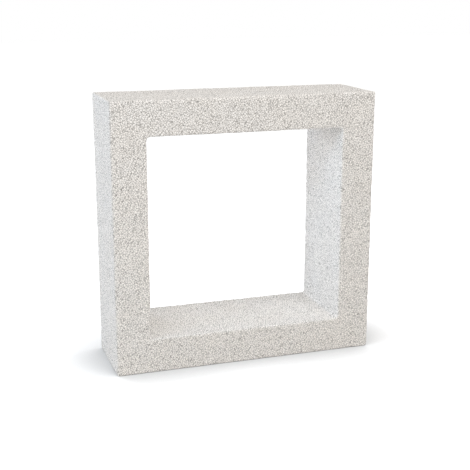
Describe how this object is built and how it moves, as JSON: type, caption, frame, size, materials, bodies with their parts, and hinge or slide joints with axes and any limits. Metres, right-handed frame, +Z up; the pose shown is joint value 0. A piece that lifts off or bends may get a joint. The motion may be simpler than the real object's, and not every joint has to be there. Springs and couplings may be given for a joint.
{
  "type": "concrete breeze block",
  "caption": "Square-frame concrete breeze block with a tapered through opening, laid in mortar as a unit of an open screen wall.",
  "frame": {"origin": "middle of the bed face that the block stands on", "axes": "+Z up, +X to the right along the course, +Y through the wall from the show face to the back face"},
  "size_m": [0.29, 0.09, 0.29],
  "materials": {
    "concrete": "fine granular light grey cast concrete, matt"
  },
  "bodies": {
    "root": {"breeze_block": "concrete"}
  },
  "joints": []
}
